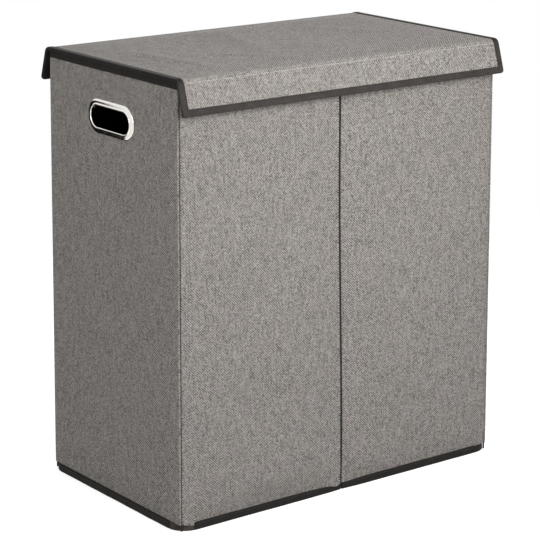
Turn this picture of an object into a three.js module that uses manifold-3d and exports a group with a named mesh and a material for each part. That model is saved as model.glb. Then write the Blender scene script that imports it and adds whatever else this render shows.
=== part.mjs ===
// Laundry hamper with two bins: an upright box of cloth-covered boards, parted by a divider,
// with a lid that is sewn to the back rim and carries a flap at its front and one at its back.
// Millimetres, +Z up. The origin is on the floor under the middle of the box, and the front faces -Y.
import * as THREE from 'three';
import { mergeVertices } from 'three/addons/utils/BufferGeometryUtils.js';
import Module from 'manifold-3d';

// Overall sizes
const BODY_WIDTH = 551;
const BODY_DEPTH = 310;
const HEIGHT = 622;
const LID_SIDE_OVERHANG = 3.5;

// Thicknesses of the sewn and boarded layers
const COVER = 0.8;
const BOARD = 2.4;
const LINING = 0.5;
const TAPE = 0.6;
const BOTTOM_CLOTH = 1;
const FLOOR_BOARD = 3;
const FLAP_BOARD = 2;

// Binding tape on the rim, the lid and the flaps, and the thicker one round the foot
const TAPE_WIDTH = 9.5;
const FOOT_TAPE_HEIGHT = 10;
const FOOT_TAPE_PROUD = 4.5;
const FOOT_TAPE_CORNER = 8;

// Stitched seams where two boards meet, and the step from the rim's tape down to the divider
const CORNER_SEAM = 2;
const CENTRE_SEAM = 4;
const DIVIDER_STEP = 1;

// Flaps: how far they hang, how far they stand out, and how far they can be pressed in
const FLAP_DROP = 46.8;
const FLAP_FLARE = 14.7;
const FLAP_PRESS_DEGREES = 8;
const FOLD_ZONE = 4.5;
const FOLD_CLEARANCE = 0.6;
const LID_END_CLEARANCE = 1.3;
const LID_BOARD_SETBACK = 8;

// Chrome handle rings in the two side walls
const HANDLE_BELOW_RIM = 73;
const HANDLE_STRAIGHT = 63;
const HANDLE_RADIUS = 15;
const RING_FLANGE = 9;
const RING_CROWN = 3;
const RING_METAL = 0.8;
const WASHER_FLANGE = 6.5;
const WASHER = 1;
const LIP_FLANGE = 3.2;
const RING_STEPS = 28;
const CROWN_STEPS = 8;

// Clearances
const CLEAR = 0.3;
const FLOOR_SIDE_CLEARANCE = 3.3;
const FLOOR_RING_CLEARANCE = 1.4;
const ARC_STEPS = 5;
const CUT_EXTRA = 5;

// Wall faces from the outside to the inside, as distances from the middle of the box
const WALL = COVER + BOARD + LINING;
const sideFace = { outer: BODY_WIDTH / 2 };
sideFace.board = sideFace.outer - COVER;
sideFace.lining = sideFace.board - BOARD;
sideFace.inner = sideFace.lining - LINING;
const frontFace = { outer: BODY_DEPTH / 2 };
frontFace.board = frontFace.outer - COVER;
frontFace.lining = frontFace.board - BOARD;
frontFace.inner = frontFace.lining - LINING;

// Heights, from the lid's tape at the top down to the wall boards' upper edge
const foldHeight = HEIGHT - TAPE;
const lidUnderside = foldHeight - COVER - BOARD - LINING - TAPE;
const rimTop = lidUnderside - CLEAR;
const wallTop = rimTop - TAPE;
const rimTapeFoot = rimTop - TAPE_WIDTH;
const dividerTapeTop = rimTapeFoot - DIVIDER_STEP;
const dividerTop = dividerTapeTop - TAPE;
const handleHeight = rimTop - HANDLE_BELOW_RIM;

// The flap's layers, as distances in from its outer face, and the lid's overhang that lets it hang
const flapLayer = { boardOut: COVER + CLEAR };
flapLayer.boardIn = flapLayer.boardOut + FLAP_BOARD;
flapLayer.liningOut = flapLayer.boardIn + CLEAR;
flapLayer.liningIn = flapLayer.liningOut + LINING;
flapLayer.tapeIn = flapLayer.liningIn + CLEAR + TAPE;
const flapSlant = Math.atan2(FLAP_FLARE, FLAP_DROP);
const flapLength = Math.hypot(FLAP_FLARE, FLAP_DROP);
const pressedSlant = flapSlant - THREE.MathUtils.degToRad(FLAP_PRESS_DEGREES);
const flapReachIn = flapLayer.tapeIn * Math.cos(pressedSlant) - FOLD_ZONE * Math.sin(pressedSlant);
const foldOut = frontFace.outer + TAPE + CLEAR + flapReachIn;
const lidDepth = 2 * foldOut;
const lidHalfWidth = sideFace.outer + LID_SIDE_OVERHANG;

const wasm = await Module();
wasm.setup();

const hamper = new THREE.Group();

// Finishes
const linenCloth = () => new THREE.MeshStandardMaterial({ color: 0x928e89, roughness: 0.95, metalness: 0 });
const blackTape = () => new THREE.MeshStandardMaterial({ color: 0x2b2a29, roughness: 0.85, metalness: 0 });
const blackLining = () => new THREE.MeshStandardMaterial({ color: 0x1b1b1c, roughness: 0.9, metalness: 0 });
const greyBoard = () => new THREE.MeshStandardMaterial({ color: 0xa39581, roughness: 0.9, metalness: 0 });
const chrome = () => new THREE.MeshStandardMaterial({ color: 0xd9dbdd, roughness: 0.12, metalness: 1 });

function addPiece(parent, name, geometry, material) {
  const mesh = new THREE.Mesh(geometry, material);
  mesh.name = name;
  parent.add(mesh);
  return mesh;
}

// A rectangular solid between two values on each axis
function block([x0, x1], [y0, y1], [z0, z1]) {
  const geometry = new THREE.BoxGeometry(1, 1, 1);
  const place = geometry.attributes.position;
  for (let i = 0; i < place.count; i += 1) {
    const x = place.getX(i) < 0 ? x0 : x1;
    const y = place.getY(i) < 0 ? y0 : y1;
    const z = place.getZ(i) < 0 ? z0 : z1;
    place.setXYZ(i, x, y, z);
  }
  return geometry;
}

// A plate of a drawn outline, flat on the floor's plane, between two heights
function levelPlate(outline, z0, z1) {
  const geometry = new THREE.ExtrudeGeometry(outline, { depth: 1, bevelEnabled: false, curveSegments: ARC_STEPS });
  const place = geometry.attributes.position;
  for (let i = 0; i < place.count; i += 1) {
    place.setZ(i, place.getZ(i) > 0.5 ? z1 : z0);
  }
  return geometry;
}

// A plate of an outline drawn along Y and Z, upright between two values on X
function sidePlate(outline, x0, x1) {
  const geometry = levelPlate(outline, 0, 1);
  const place = geometry.attributes.position;
  for (let i = 0; i < place.count; i += 1) {
    const x = place.getZ(i) > 0.5 ? x1 : x0;
    place.setXYZ(i, x, place.getX(i), place.getY(i));
  }
  return geometry;
}

function rectangle(Form, [u0, u1], [v0, v1]) {
  const outline = new Form();
  outline.moveTo(u0, v0);
  outline.lineTo(u1, v0);
  outline.lineTo(u1, v1);
  outline.lineTo(u0, v1);
  outline.closePath();
  return outline;
}

function roundedRectangle(halfU, halfV, radius) {
  const outline = new THREE.Shape();
  outline.absarc(halfU - radius, halfV - radius, radius, 0, Math.PI / 2);
  outline.absarc(radius - halfU, halfV - radius, radius, Math.PI / 2, Math.PI);
  outline.absarc(radius - halfU, radius - halfV, radius, Math.PI, 1.5 * Math.PI);
  outline.absarc(halfU - radius, radius - halfV, radius, 1.5 * Math.PI, 2 * Math.PI);
  outline.closePath();
  return outline;
}

function solidOf(geometry) {
  const bare = geometry.clone();
  bare.deleteAttribute('normal');
  bare.deleteAttribute('uv');
  const merged = mergeVertices(bare);
  const vertProperties = new Float32Array(merged.attributes.position.array);
  const triVerts = new Uint32Array(merged.index.array);
  return new wasm.Manifold(new wasm.Mesh({ numProp: 3, vertProperties, triVerts }));
}

function geometryOf(solid) {
  const mesh = solid.getMesh();
  const geometry = new THREE.BufferGeometry();
  geometry.setAttribute('position', new THREE.BufferAttribute(new Float32Array(mesh.vertProperties), 3));
  geometry.setIndex(new THREE.BufferAttribute(new Uint32Array(mesh.triVerts), 1));
  geometry.computeVertexNormals();
  return geometry;
}

function cut(geometry, ...tools) {
  let solid = solidOf(geometry);
  for (const tool of tools) {
    solid = solid.subtract(solidOf(tool));
  }
  return geometryOf(solid);
}

const both = (half) => [-half, half];
const onSide = (sign, near, far) => (sign < 0 ? [-far, -near] : [near, far]);
const SIDES = [
  { name: 'left', sign: -1 },
  { name: 'right', sign: 1 },
];
const ENDS = [
  { name: 'front', sign: -1 },
  { name: 'back', sign: 1 },
];
const wallRise = [BOTTOM_CLOTH, wallTop];

// Long round-ended outline round a handle ring's opening, drawn along Y and Z
function handleOutline(Form, radius) {
  const half = HANDLE_STRAIGHT / 2;
  const outline = new Form();
  outline.absarc(half, handleHeight, radius, -Math.PI / 2, Math.PI / 2);
  outline.absarc(-half, handleHeight, radius, Math.PI / 2, 1.5 * Math.PI);
  outline.closePath();
  return outline;
}

const wallHoleRadius = HANDLE_RADIUS + RING_METAL + CLEAR;

// Side walls: one stiff board in a cloth cover, with the handle's hole through both
function addSideWall({ name, sign }) {
  const coverOutline = rectangle(THREE.Shape, both(frontFace.outer), wallRise);
  const boardOutline = rectangle(THREE.Shape, both(frontFace.board), wallRise);
  coverOutline.holes.push(handleOutline(THREE.Path, wallHoleRadius));
  boardOutline.holes.push(handleOutline(THREE.Path, wallHoleRadius));
  const cover = sidePlate(coverOutline, ...onSide(sign, sideFace.board, sideFace.outer));
  const board = sidePlate(boardOutline, ...onSide(sign, sideFace.lining, sideFace.board));
  addPiece(hamper, `${name}_wall_cover`, cover, linenCloth());
  addPiece(hamper, `${name}_wall_board`, board, greyBoard());
}

// Front and back walls: two boards each, which meet at the stitched centre seam
function addHalfWall(end, side) {
  const cover = block(
    onSide(side.sign, 0, sideFace.board),
    onSide(end.sign, frontFace.board, frontFace.outer),
    wallRise,
  );
  const board = block(
    onSide(side.sign, CENTRE_SEAM / 2, sideFace.lining - CORNER_SEAM),
    onSide(end.sign, frontFace.lining, frontFace.board),
    wallRise,
  );
  addPiece(hamper, `${end.name}_${side.name}_cover`, cover, linenCloth());
  addPiece(hamper, `${end.name}_${side.name}_board`, board, greyBoard());
}

// Bin lining: a black cloth sleeve on all four sides of one bin, lower along the divider
function addBinLining({ name, sign }) {
  const outline = rectangle(THREE.Shape, onSide(sign, BOARD / 2, sideFace.lining), both(frontFace.lining));
  const inside = onSide(sign, BOARD / 2 + LINING, sideFace.inner);
  outline.holes.push(rectangle(THREE.Path, inside, both(frontFace.inner)));
  const aboveDivider = block(
    onSide(sign, 0, BOARD / 2 + LINING),
    both(frontFace.inner),
    [dividerTop, wallTop + CUT_EXTRA],
  );
  const handleCut = sidePlate(
    handleOutline(THREE.Shape, wallHoleRadius),
    ...onSide(sign, sideFace.inner - CUT_EXTRA, sideFace.lining + CUT_EXTRA),
  );
  const sleeve = cut(levelPlate(outline, ...wallRise), aboveDivider, handleCut);
  addPiece(hamper, `${name}_bin_lining`, sleeve, blackLining());
}

// Divider: a board between the two bins, and the tape folded over its top edge
function addDivider() {
  const board = block(both(BOARD / 2), both(frontFace.lining - CLEAR), [BOTTOM_CLOTH, dividerTop]);
  addPiece(hamper, 'divider_board', board, greyBoard());
  const half = BOARD / 2 + LINING;
  const tapeFoot = dividerTapeTop - TAPE_WIDTH;
  const tape = cut(
    block(both(half + TAPE), both(frontFace.inner), [tapeFoot, dividerTapeTop]),
    block(both(half), both(frontFace.outer), [tapeFoot - CUT_EXTRA, dividerTop]),
  );
  addPiece(hamper, 'divider_binding', tape, blackTape());
}

// Rim binding: one tape folded over the top edge of all four walls
function addRimBinding() {
  const ring = rectangle(THREE.Shape, both(sideFace.outer + TAPE), both(frontFace.outer + TAPE));
  ring.holes.push(rectangle(THREE.Path, both(sideFace.inner - TAPE), both(frontFace.inner - TAPE)));
  const wallSlot = rectangle(THREE.Shape, both(sideFace.outer), both(frontFace.outer));
  wallSlot.holes.push(rectangle(THREE.Path, both(sideFace.inner), both(frontFace.inner)));
  const tape = cut(
    levelPlate(ring, rimTapeFoot, rimTop),
    levelPlate(wallSlot, rimTapeFoot - CUT_EXTRA, wallTop),
  );
  addPiece(hamper, 'rim_binding', tape, blackTape());
}

// Base: the bottom cloth under all the walls, and the thick bound hem round the foot
function addBase() {
  const cloth = block(both(sideFace.outer), both(frontFace.outer), [0, BOTTOM_CLOTH]);
  addPiece(hamper, 'bottom_cloth', cloth, blackLining());
  const hem = roundedRectangle(
    sideFace.outer + FOOT_TAPE_PROUD,
    frontFace.outer + FOOT_TAPE_PROUD,
    FOOT_TAPE_CORNER,
  );
  hem.holes.push(rectangle(THREE.Path, both(sideFace.outer), both(frontFace.outer)));
  addPiece(hamper, 'foot_binding', levelPlate(hem, 0, FOOT_TAPE_HEIGHT), blackTape());
}

// A ring round a handle's opening: a turned ring that is drawn apart into the long round-ended form.
// Each point of its section is a distance out from the opening, and a height out of the wall.
function handleRing(section) {
  const profile = section.map(([out, height]) => new THREE.Vector2(HANDLE_RADIUS + out, height));
  profile.push(profile[0].clone());
  const geometry = new THREE.LatheGeometry(profile, RING_STEPS, Math.PI / RING_STEPS);
  const place = geometry.attributes.position;
  for (let i = 0; i < place.count; i += 1) {
    const x = place.getX(i);
    place.setX(i, x + Math.sign(x) * HANDLE_STRAIGHT / 2);
  }
  return geometry;
}

// Handle ring: a chrome eyelet with a rolled flange outside, a barrel through the wall, and a lip
// turned over the washer inside
const washerOut = -(WALL + CLEAR);
const washerIn = washerOut - WASHER;
const lipOut = washerIn - CLEAR;
const lipIn = lipOut - RING_METAL;
const ringSection = [
  [0, lipIn],
  [LIP_FLANGE, lipIn],
  [LIP_FLANGE, lipOut],
  [RING_METAL, lipOut],
  [RING_METAL, CLEAR],
];
for (let step = 0; step <= CROWN_STEPS; step += 1) {
  const turn = (Math.PI * step) / CROWN_STEPS;
  const out = (RING_FLANGE / 2) * (1 + Math.cos(turn));
  const height = CLEAR + (RING_CROWN - CLEAR) * Math.sin(turn);
  ringSection.push([out, height]);
}
const washerSection = [
  [RING_METAL + CLEAR, washerIn],
  [WASHER_FLANGE, washerIn],
  [WASHER_FLANGE, washerOut],
  [RING_METAL + CLEAR, washerOut],
];

function addHandle({ name, sign }) {
  const parts = { ring: ringSection, washer: washerSection };
  for (const [part, section] of Object.entries(parts)) {
    const mesh = addPiece(hamper, `${name}_handle_${part}`, handleRing(section), chrome());
    mesh.rotation.z = -sign * Math.PI / 2;
    mesh.position.set(sign * sideFace.outer, 0, handleHeight);
  }
}

// Floor boards: one loose board in each bin, under a black cloth cover that is turned down its edges
function addFloorBoard({ name, sign }) {
  const middle = (BOARD / 2 + LINING + sideFace.inner) / 2;
  const ringReach = -lipIn - WALL;
  const halfX = sideFace.inner - middle - ringReach - FLOOR_RING_CLEARANCE;
  const halfY = frontFace.inner - FLOOR_SIDE_CLEARANCE;
  const floor = new THREE.Group();
  floor.position.set(sign * middle, 0, BOTTOM_CLOTH);
  hamper.add(floor);
  const boardX = both(halfX - LINING);
  const boardY = both(halfY - LINING);
  const cover = cut(
    block(both(halfX), both(halfY), [0, FLOOR_BOARD + LINING]),
    block(boardX, boardY, [-CUT_EXTRA, FLOOR_BOARD]),
  );
  addPiece(floor, `${name}_floor_board`, block(boardX, boardY, [0, FLOOR_BOARD]), greyBoard());
  addPiece(floor, `${name}_floor_cover`, cover, blackLining());
}

// Lid: a board between its cloth cover and its lining, with tape folded over its two short edges.
// The board stops short of both folds, where cover and lining alone carry the bend.
// Its group stands at the back fold, where it is sewn to the rim.
const lid = new THREE.Group();
lid.position.set(0, foldOut, foldHeight);
hamper.add(lid);

function addLid() {
  const layerX = both(lidHalfWidth - TAPE);
  const lidY = [LID_END_CLEARANCE - lidDepth, -LID_END_CLEARANCE];
  const boardY = [LID_BOARD_SETBACK - lidDepth, -LID_BOARD_SETBACK];
  const boardTop = -COVER;
  const boardFoot = boardTop - BOARD;
  const liningFoot = boardFoot - LINING;
  addPiece(lid, 'lid_cover', block(layerX, lidY, [boardTop, 0]), linenCloth());
  addPiece(lid, 'lid_board', block(layerX, boardY, [boardFoot, boardTop]), greyBoard());
  addPiece(lid, 'lid_lining', block(layerX, lidY, [liningFoot, boardFoot]), blackLining());
  for (const { name, sign } of SIDES) {
    const tape = cut(
      block(onSide(sign, lidHalfWidth - TAPE_WIDTH, lidHalfWidth), lidY, [liningFoot - TAPE, TAPE]),
      block(onSide(sign, 0, lidHalfWidth - TAPE), both(lidDepth + CUT_EXTRA), [liningFoot, 0]),
    );
    addPiece(lid, `lid_${name}_binding`, tape, blackTape());
  }
}

// Flap: a narrow board between cover and lining, with tape round its two ends and its lower edge.
// Its group stands at the fold and leans out, and the cover alone reaches up to the fold.
function addFlap(parent, { name, sign }, fold) {
  const flap = new THREE.Group();
  flap.position.copy(fold);
  flap.rotation.x = sign * flapSlant;
  parent.add(flap);
  const inward = (near, far) => onSide(-sign, near, far);
  const layerX = both(lidHalfWidth - TAPE - CLEAR);
  const layerFoot = TAPE + CLEAR - flapLength;
  const cover = block(layerX, inward(0, COVER), [layerFoot, -FOLD_CLEARANCE]);
  const board = block(layerX, inward(flapLayer.boardOut, flapLayer.boardIn), [layerFoot, -FOLD_ZONE]);
  const lining = block(layerX, inward(flapLayer.liningOut, flapLayer.liningIn), [layerFoot, -FOLD_ZONE]);
  const tapeY = sign < 0 ? [-CLEAR - TAPE, flapLayer.tapeIn] : [-flapLayer.tapeIn, CLEAR + TAPE];
  const slotY = [tapeY[0] + TAPE, tapeY[1] - TAPE];
  const windowY = [tapeY[0] - CUT_EXTRA, tapeY[1] + CUT_EXTRA];
  const binding = cut(
    block(both(lidHalfWidth), tapeY, [-flapLength, -FOLD_ZONE]),
    block(both(lidHalfWidth - TAPE), slotY, [TAPE - flapLength, CUT_EXTRA]),
    block(both(lidHalfWidth - TAPE_WIDTH), windowY, [TAPE_WIDTH - flapLength, CUT_EXTRA]),
  );
  addPiece(flap, `${name}_flap_cover`, cover, linenCloth());
  addPiece(flap, `${name}_flap_board`, board, greyBoard());
  addPiece(flap, `${name}_flap_lining`, lining, blackLining());
  addPiece(flap, `${name}_flap_binding`, binding, blackTape());
}

addBase();
SIDES.forEach(addSideWall);
ENDS.forEach((end) => SIDES.forEach((side) => addHalfWall(end, side)));
SIDES.forEach(addBinLining);
addDivider();
addRimBinding();
SIDES.forEach(addHandle);
SIDES.forEach(addFloorBoard);
addLid();
const [frontEnd, backEnd] = ENDS;
addFlap(lid, frontEnd, new THREE.Vector3(0, -lidDepth, 0));
addFlap(hamper, backEnd, lid.position);

export default hamper;
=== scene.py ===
import math
import random

import bmesh
import bpy
import numpy as np
from mathutils import Matrix, Vector


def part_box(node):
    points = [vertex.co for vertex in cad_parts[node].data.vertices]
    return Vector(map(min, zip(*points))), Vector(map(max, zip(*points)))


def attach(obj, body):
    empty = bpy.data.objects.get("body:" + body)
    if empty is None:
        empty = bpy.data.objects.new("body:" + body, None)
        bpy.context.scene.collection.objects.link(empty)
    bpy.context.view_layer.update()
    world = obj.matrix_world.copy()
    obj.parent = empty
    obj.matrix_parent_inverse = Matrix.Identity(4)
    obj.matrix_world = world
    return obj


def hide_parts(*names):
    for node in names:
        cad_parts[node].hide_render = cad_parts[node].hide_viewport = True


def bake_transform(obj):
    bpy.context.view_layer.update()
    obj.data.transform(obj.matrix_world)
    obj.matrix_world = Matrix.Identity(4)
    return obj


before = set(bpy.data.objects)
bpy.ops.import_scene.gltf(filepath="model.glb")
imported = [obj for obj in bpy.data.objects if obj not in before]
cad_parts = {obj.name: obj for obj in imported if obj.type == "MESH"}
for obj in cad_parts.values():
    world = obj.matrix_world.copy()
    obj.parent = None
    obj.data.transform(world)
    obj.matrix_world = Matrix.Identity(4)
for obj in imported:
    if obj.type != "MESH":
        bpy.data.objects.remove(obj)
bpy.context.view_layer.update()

# Studio: a pale floor, soft lamps at the front, the left and the back, and even light all round.
# The camera stands to the left of the front and looks down on the lid a little. Dark cards at both
# sides show in shiny metal alone.
IMAGE_SIDE = 540
SENSOR = 36
FOCAL_PIXELS = 2184
CAMERA_PLACE = (-1.854, -2.428, 1.122)
CAMERA_TURN, CAMERA_TILT, CAMERA_ROLL = 37.26, 15.25, 0.18
SKY_ON_OBJECT = 0.50
LAMP_AIM = (0, 0, 0.35)
LAMPS = (
    ("front", (0, -1.2, 0.95), 0.7, 12.8), ("left", (-1.997, -0.535, 1.052), 1.0, 10.4),
    ("back", (1.1, 1.5, 0.75), 0.8, 14),
)
FLOOR_RADIUS, FLOOR_SIDES, FLOOR_DROP, SHADOW_REACH = 9, 64, 0.0004, (0.7, 1.7)
FLOOR_GREY, FLOOR_LIFT, FLOOR_ON_OBJECT = 0.62, 0.7, 0.3
CARD_GREY = 0.012
CARDS = {
    "upright": [(0.01, 0.9, 0.01), (0.90, 0.9, 0.01), (0.90, 0.9, 0.60), (0.01, 0.9, 0.60)],
    "flat": [(0.31, -0.3, 0.01), (0.74, -0.3, 0.01), (0.74, 0.9, 0.01), (0.31, 0.9, 0.01)],
}
SHARP_EDGE = math.radians(50)


class Wire:
    """An output of a shader's node. Sums on it add Math nodes."""

    def __init__(self, shader, socket):
        self.shader = shader
        self.socket = socket

    def math(self, operation, *terms):
        return self.shader.node("Math", {"operation": operation}, dict(enumerate(terms)))

    def __add__(self, other):
        return self.math("ADD", self, other)

    def __sub__(self, other):
        return self.math("SUBTRACT", self, other)

    def __rsub__(self, other):
        return self.math("SUBTRACT", other, self)

    def __mul__(self, other):
        return self.math("MULTIPLY", self, other)

    def __truediv__(self, other):
        return self.math("DIVIDE", self, other)

    __radd__ = __add__
    __rmul__ = __mul__


class Shader:
    """The nodes of a new material, or of the world, all added by one method."""

    def __init__(self, name, kind=bpy.data.materials):
        self.owner = kind.new(name)
        self.owner.use_nodes = True
        self.tree = self.owner.node_tree
        self.tree.nodes.clear()

    def node(self, kind, settings=None, sockets=None, output=0):
        made = self.tree.nodes.new(f"ShaderNode{kind}")
        for name, value in (settings or {}).items():
            setattr(made, name, value)
        for name, value in (sockets or {}).items():
            if isinstance(value, Wire):
                self.tree.links.new(value.socket, made.inputs[name])
            else:
                made.inputs[name].default_value = value
        return Wire(self, made.outputs[output]) if made.outputs else None

    def plain(self, kind, level, **sockets):
        """A surface or a light of one grey."""
        return self.node(kind, None, {"Color": (level, level, level, 1), **sockets})

    def end(self, surface, kind="OutputMaterial"):
        """Closes the nodes with this surface, and gives what they belong to."""
        self.node(kind, None, {"Surface": surface})
        return self.owner

    def here(self):
        """Each point's place in its own piece."""
        return self.node("TexCoord", output="Object")

    def weave(self):
        """Each point's place on the flat cloth that its piece is cut from."""
        return self.node("Attribute", {"attribute_name": "weave"}, output="Vector")

    def seen(self):
        """1 where the camera looks, straight or by way of metal or glass, and 0 elsewhere."""
        straight, mirrored, through = (
            self.node("LightPath", output=name)
            for name in ("Is Camera Ray", "Is Glossy Ray", "Is Transmission Ray")
        )
        return straight.math("MAXIMUM", straight.math("MAXIMUM", straight, mirrored), through)


camera = bpy.data.objects.new("camera", bpy.data.cameras.new("camera"))
bpy.context.scene.collection.objects.link(camera)
camera.data.sensor_width = SENSOR
camera.data.lens = FOCAL_PIXELS * SENSOR / IMAGE_SIDE
camera.matrix_world = (
    Matrix.Translation(CAMERA_PLACE)
    @ Matrix.Rotation(math.radians(-CAMERA_TURN), 4, "Z")
    @ Matrix.Rotation(math.radians(90 - CAMERA_TILT), 4, "X")
    @ Matrix.Rotation(math.radians(CAMERA_ROLL), 4, "Z")
)
bpy.context.scene.camera = camera
bpy.context.scene.view_settings.view_transform = "Standard"

sky = Shader("sky", bpy.data.worlds)
sky_strength = SKY_ON_OBJECT + sky.seen() * (1 - SKY_ON_OBJECT)
bpy.context.scene.world = sky.end(sky.plain("Background", 1, Strength=sky_strength), "OutputWorld")

for name, place, width, power in LAMPS:
    lamp = bpy.data.objects.new(f"{name}_lamp", bpy.data.lights.new(f"{name}_lamp", "AREA"))
    bpy.context.scene.collection.objects.link(lamp)
    lamp.data.size = width
    lamp.data.energy = power
    lamp.location = place
    lamp.rotation_euler = (Vector(LAMP_AIM) - Vector(place)).to_track_quat("-Z", "Y").to_euler()
    lamp.visible_camera = False


def mesh_object(name, points, faces):
    """A new object of these points and faces, smooth but for its sharp edges."""
    mesh = bpy.data.meshes.new(name)
    mesh.from_pydata([tuple(p) for p in points], [], [tuple(f) for f in faces])
    outward = bmesh.new()
    outward.from_mesh(mesh)
    bmesh.ops.recalc_face_normals(outward, faces=outward.faces)
    outward.to_mesh(mesh)
    outward.free()
    mesh.shade_smooth()
    mesh.set_sharp_from_angle(angle=SHARP_EDGE)
    piece = bpy.data.objects.new(name, mesh)
    bpy.context.scene.collection.objects.link(piece)
    return piece


floor_turns = [2 * math.pi * step / FLOOR_SIDES for step in range(FLOOR_SIDES)]
floor_rim = [(FLOOR_RADIUS * math.cos(turn), FLOOR_RADIUS * math.sin(turn), 0) for turn in floor_turns]
floor = mesh_object("floor", floor_rim, [range(FLOOR_SIDES)])
floor.location.z = -FLOOR_DROP
floor_paint = Shader("pale floor")
floor_reach = floor_paint.node("VectorMath", {"operation": "LENGTH"}, {0: floor_paint.here()}, "Value")
floor_fade = floor_paint.node(
    "MapRange",
    {"interpolation_type": "SMOOTHSTEP"},
    {"Value": floor_reach, "From Min": SHADOW_REACH[0], "From Max": SHADOW_REACH[1]},
)
floor_matt = floor_paint.plain("BsdfDiffuse", FLOOR_GREY)
floor_lift = floor_paint.plain("Emission", 1, Strength=FLOOR_LIFT)
floor_near = floor_paint.node("AddShader", None, {0: floor_matt, 1: floor_lift})
floor_white = floor_paint.plain("Emission", 1, Strength=1)
floor_seen = floor_paint.node("MixShader", None, {0: floor_fade, 1: floor_near, 2: floor_white})
floor_dim = floor_paint.plain("BsdfDiffuse", FLOOR_ON_OBJECT)
floor_both = floor_paint.node("MixShader", None, {0: floor_paint.seen(), 1: floor_dim, 2: floor_seen})
floor.data.materials.append(floor_paint.end(floor_both))

card_paint = Shader("dark card")
card_matt = card_paint.end(card_paint.plain("BsdfDiffuse", CARD_GREY))
for side in (-1, 1):
    for name, corners in CARDS.items():
        places = [(side * x, y, z) for x, y, z in corners]
        dark_card = mesh_object(f"dark_card_{name}_{side + 1}", places, [range(4)])
        dark_card.data.materials.append(card_matt)
        dark_card.visible_camera = dark_card.visible_shadow = dark_card.visible_diffuse = False

# Boards: stiff grey fibre board, cut to size, one in each wall panel, lid, flap and bin floor.
# They are sewn in between the cover and the lining, and set the box's shape.


def paint(red, green, blue):
    """A colour as it is written on a screen, from 0 to 255, in the shader's own measure."""
    def plain(level):
        share = level / 255
        return share / 12.92 if share <= 0.04045 else ((share + 0.055) / 1.055) ** 2.4
    return (plain(red), plain(green), plain(blue), 1)


def finish_surface(shader, colour, roughness, normal, **constants):
    """Ends a material: what varies goes into colour, roughness and normal, and the rest are constants."""
    sockets = {name.replace("_", " "): value for name, value in constants.items()}
    sockets.update({"Base Color": colour, "Roughness": roughness, "Normal": normal})
    return shader.end(shader.node("BsdfPrincipled", None, sockets))


def grain(shader, place, sizes, detail=2.0):
    """Soft noise with grains of these sizes, in metres, along the three axes of place."""
    scale = tuple(1 / size for size in sizes)
    scaled = shader.node("VectorMath", {"operation": "MULTIPLY"}, {0: place, 1: scale})
    return shader.node("TexNoise", None, {"Vector": scaled, "Scale": 1, "Detail": detail})


def mixed(shader, share, first, second):
    """A colour between two others."""
    return shader.node("Mix", {"data_type": "RGBA"}, {0: share, 6: first, 7: second}, output=2)


def bumped(shader, height, depth, strength=1.0):
    """The normal of a surface with this relief, in metres."""
    return shader.node("Bump", None, {"Height": height, "Distance": depth, "Strength": strength})


board_paint = Shader("grey fibre board")
board_place = board_paint.here()
board_fibre = grain(board_paint, board_place, (0.002, 0.002, 0.002), 4)
board_patch = grain(board_paint, board_place, (0.03, 0.03, 0.03))
board_shade = (board_fibre * 0.7 + board_patch * 0.3 - 0.3) * 2.2
board_finish = finish_surface(
    board_paint, mixed(board_paint, board_shade, paint(138, 126, 110), paint(186, 172, 150)),
    0.82 + board_fibre * 0.15, bumped(board_paint, board_fibre, 0.0002),
)
for node_name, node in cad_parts.items():
    if node_name.endswith("_board"):
        node.data.materials.clear()
        node.data.materials.append(board_finish)

# Bottom cloth: one black non-woven sheet under the whole box, sewn to the foot of every wall.
# The divider and the bin linings stand on it.
SIDE_FACE, FRONT_FACE, WALL_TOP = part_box("right_wall_cover")[1]
BOTTOM_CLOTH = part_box("bottom_cloth")[1].z
BOTTOM_EDGE, BOTTOM_THICK, BOTTOM_WAVE = 0.0008, 0.0005, 0.00015
HAIR = 0.0001


def spread(*parts):
    """Points, out of an array or a number for each of their coordinates."""
    return np.stack(np.broadcast_arrays(*parts), axis=-1)


def shell(name, outer, inner, weave, loop=False, missing=None):
    """A closed sheet between two grids of points. Loop joins the last column to the first, and
    missing marks the cells that are cut out. The weave is each point's place on the flat cloth."""
    rows, columns = outer.shape[:2]
    count = rows * columns
    index = np.arange(count).reshape(rows, columns)
    if loop:
        index = np.concatenate([index, index[:, :1]], axis=1)
    cells = np.stack([index[:-1, :-1], index[:-1, 1:], index[1:, 1:], index[1:, :-1]], axis=-1)
    cells = cells.reshape(-1, 4)
    if missing is not None:
        cells = cells[~missing.reshape(-1)]
    sides = np.concatenate([cells[:, [0, 1]], cells[:, [1, 2]], cells[:, [2, 3]], cells[:, [3, 0]]])
    _, which, times = np.unique(np.sort(sides, axis=1), axis=0, return_inverse=True, return_counts=True)
    rims = sides[times[which.reshape(-1)] == 1]
    rims = np.concatenate([rims[:, ::-1], rims + count], axis=1)
    faces = np.concatenate([cells, cells[:, ::-1] + count, rims])
    points = np.concatenate([outer.reshape(-1, 3), inner.reshape(-1, 3)])
    marks = np.tile(weave.reshape(-1, 3), (2, 1))
    used = np.unique(faces)
    place = np.zeros(len(points), int)
    place[used] = np.arange(len(used))
    faces, points, marks = place[faces], points[used], marks[used]
    _, first, merged = np.unique(np.round(points, 7), axis=0, return_index=True, return_inverse=True)
    faces = [list(dict.fromkeys(face)) for face in merged.reshape(-1)[faces]]
    piece = mesh_object(name, points[first], [face for face in faces if len(face) > 2])
    held = piece.data.attributes.new("weave", "FLOAT_VECTOR", "POINT")
    held.data.foreach_set("vector", marks[first].astype(np.float32).ravel())
    return piece


def flat_places(across, along, seed):
    """Each point's place on the flat cloth, in metres, shifted apart from every other piece's."""
    return spread(across + 3 * seed, along + 5 * seed, float(seed))


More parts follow.
